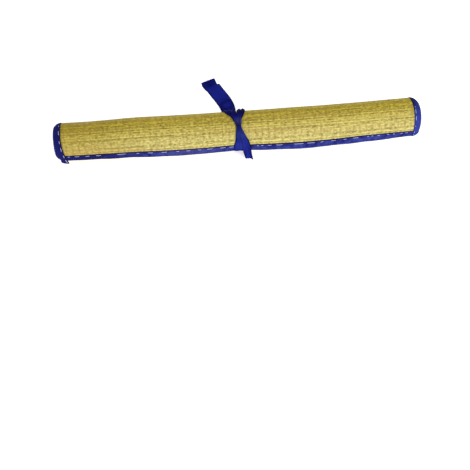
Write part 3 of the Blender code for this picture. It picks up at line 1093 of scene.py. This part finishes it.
def ribbon_section(width, arch, run, seed, pleats):
    """The middle line of the ribbon's section: its left side turned under, its top, its right side."""
    spare = RIBBON_WIDTH - width
    hem = max(LEAST_HEM, min(spare / 2, width - LEAST_TOP))
    lapped = min(1.0, max(0.0, (hem - width / 2 + LAPPED_FROM) / LAPPED_OVER))
    top = LAYER * (1 + lapped)
    pleated = width + max(0.0, spare - 2 * hem) + PLEATED_MORE * max(0.0, spare)
    pleat = math.sqrt(max(0.0, pleated**2 - width**2)) / (2 * pleats)
    line = []
    low = LAYER * lapped
    bend = (top - low) / 2
    for i in range(HEM_POINTS):
        share = i / HEM_POINTS
        line.append((-width / 2 + hem + (bend - hem) * share, low))
    for i in range(FOLD_POINTS):
        turn = math.pi * i / FOLD_POINTS
        line.append((-width / 2 + bend - bend * math.sin(turn), low + bend - bend * math.cos(turn)))
    for i in range(TOP_POINTS + 1):
        share = i / TOP_POINTS
        shift = 0.06 * noise.noise((share * 2.5, run * 40.0, seed)) * 4 * share * (1 - share)
        wave = 0.5 - 0.5 * math.cos(math.tau * pleats * (share + shift))
        deep = 1.0 + 0.7 * noise.noise((share * 4.0, run * 35.0, seed + 9.0))
        crumple = CRUMPLE * spare / RIBBON_WIDTH * noise.noise((share * 6.0, run * 170.0, seed + 4.0))
        rise = PLEAT_FULLNESS * pleat * wave * deep + crumple
        rise *= min(1.0, 12 * share * (1 - share))
        line.append((-width / 2 + bend + (width - 2 * bend) * share, top + rise))
    bend = top / 2
    for i in range(1, FOLD_POINTS + 1):
        turn = math.pi * i / FOLD_POINTS
        line.append((width / 2 - bend + bend * math.sin(turn), bend + bend * math.cos(turn)))
    for i in range(1, HEM_POINTS + 1):
        share = i / HEM_POINTS
        line.append((width / 2 - bend + (bend - hem) * share, 0.0))
    lift = arch + ARCH_DRIFT * noise.noise((run * 55.0, seed, 2.0))
    return [Vector((x, y + lift * (1 - (2 * x / width) ** 2))) for x, y in line]


def notch_and_flare(left):
    """How far the right side is cut in and flares out, by the length left to the ribbon's end."""
    inset = NOTCH_DEPTH * left / NOTCH_FROM_END if left < NOTCH_FROM_END else 0.0
    flare = FLARE * swell(left, FLARE_FROM_END, FLARE_REACH, 1)
    return inset, flare - CORNER_CUT * max(0.0, 1 - left / (FLARE_FROM_END / 2))


def torn_out(share, seed, tip):
    """How far a ragged cut reaches, by the share of the width to the right of the middle."""
    ragged = TORN * noise.noise((share * 9.0, seed, 7.0))
    ragged += TORN_CORNERS * max(0.0, abs(2 * share) - 0.6) ** 1.5
    return ragged + tip * max(0.0, 2 * share) ** 3


def ribbon_piece(name, stations, seed, pleats=3, ragged=False, notched=False, tip=0.0):
    """A closed length of ribbon through its stations, perhaps ending in a ragged cut."""
    rows = eased(stations)
    middles = [Vector(row[:3]) for row in rows]
    runs = [0.0]
    for near, far in zip(middles, middles[1:]):
        runs.append(runs[-1] + (far - near).length)
    rings = []
    marks = []
    for i, row in enumerate(rows):
        across = Vector(row[3:6]).normalized()
        outward = Vector(row[6:9]).normalized()
        forward = (middles[i] - middles[max(0, i - 1)]).normalized()
        width = min(row[9], RIBBON_WIDTH)
        left = runs[-1] - runs[i]
        inset, flare = notch_and_flare(left) if notched else (0.0, 0.0)
        section = ribbon_section(width - inset + flare, row[10], runs[i], seed, pleats)
        outer = []
        inner = []
        for j, point in enumerate(section):
            step = section[min(j + 1, len(section) - 1)] - section[max(j - 1, 0)]
            away = Vector((-step.y, step.x)).normalized() * RIBBON_CLOTH / 2
            for side, face in ((away, outer), (-away, inner)):
                spot = middles[i] + across * (point.x + side.x - (inset + flare) / 2)
                spot += outward * (point.y + side.y + RIBBON_CLOTH / 2)
                if ragged and left < TORN_LENGTH:
                    spot += forward * torn_out(point.x / width, seed, tip)
                spot.z = max(spot.z, 0.0)
                face.append(spot)
        rings.append(outer + inner[::-1])
        row_marks = [(width / 2 - abs(point.x) + EDGE_MARK, runs[i]) for point in section]
        marks += row_marks + row_marks[::-1]
    return ringed_cloth(name, rings, ribbon_cloth, marks)


front_half = ribbon_piece(
    "ribbon_front", against_roll(FRONT_HALF, True) + clear_of_roll(OVER_LOOSE_EDGE), 1.0
)
back_half = ribbon_piece("ribbon_round_back", against_roll(BACK_HALF, True), 2.0, pleats=2)
long_tail = ribbon_piece(
    "ribbon_long_tail",
    against_roll(LONG_TAIL) + clear_of_roll(DOWN_TO_FLOOR),
    3.0,
    ragged=True,
    notched=True,
)
short_tail = ribbon_piece(
    "ribbon_short_tail",
    against_roll(SHORT_TAIL) + clear_of_roll(DOWN_THE_FRONT),
    4.0,
    ragged=True,
    tip=TIP_DROP,
)
for piece, length in (
    (front_half, FRONT_LENGTH),
    (back_half, BACK_LENGTH),
    (long_tail, LONG_TAIL_LENGTH),
    (short_tail, SHORT_TAIL_LENGTH),
):
    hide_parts("tie")

# The half knot
# Where the two halves cross, one wraps once round the other. The wrap is pulled tight into
# a small band of pleats across the gathered neck.
WRAP_FACET = 3.5
WRAP_LENGTH = 0.0088
WRAP_HALF_WIDTH = 0.0044
WRAP_HEIGHT = 0.0034
WRAP_FOOT = 0.0004
WRAP_CLOTH = 0.0006
WRAP_SLANT = math.radians(14)
WRAP_PAST_LEVEL = 0.08
WRAP_PLEATS = 3
WRAP_ROWS = 28
WRAP_POINTS = 18

rings = []
for i in range(WRAP_ROWS + 1):
    turn = math.pi * (i / WRAP_ROWS * (1 + 2 * WRAP_PAST_LEVEL) - WRAP_PAST_LEVEL)
    risen = math.sin(turn)
    lying = -WRAP_HALF_WIDTH * math.cos(turn)
    rise = WRAP_FOOT + WRAP_HEIGHT * risen**0.8 if risen > 0 else WRAP_FOOT / 2
    ring = []
    for face in (1, 0):
        for j in range(WRAP_POINTS + 1):
            share = j / WRAP_POINTS if face else 1 - j / WRAP_POINTS
            wave = 0.5 - 0.5 * math.cos(math.tau * WRAP_PLEATS * share + 0.5 * math.sin(turn * 2))
            ends = 1 - (2 * share - 1) ** 6
            place = (share - 0.5) * WRAP_LENGTH * (0.86 + 0.14 * risen)
            x = lying * math.cos(WRAP_SLANT) + place * math.sin(WRAP_SLANT)
            round_it = place * math.cos(WRAP_SLANT) - lying * math.sin(WRAP_SLANT)
            proud = rise + WRAP_CLOTH * (wave + 1) * ends * face
            turned = at_facet(WRAP_FACET) + round_it / ROLL_RADIUS
            ring.append(on_roll(x, turned, proud, 1.0, 0.0))
    rings.append(ring)
knot = ringed_cloth("ribbon_knot", rings, ribbon_cloth)
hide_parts("tie")
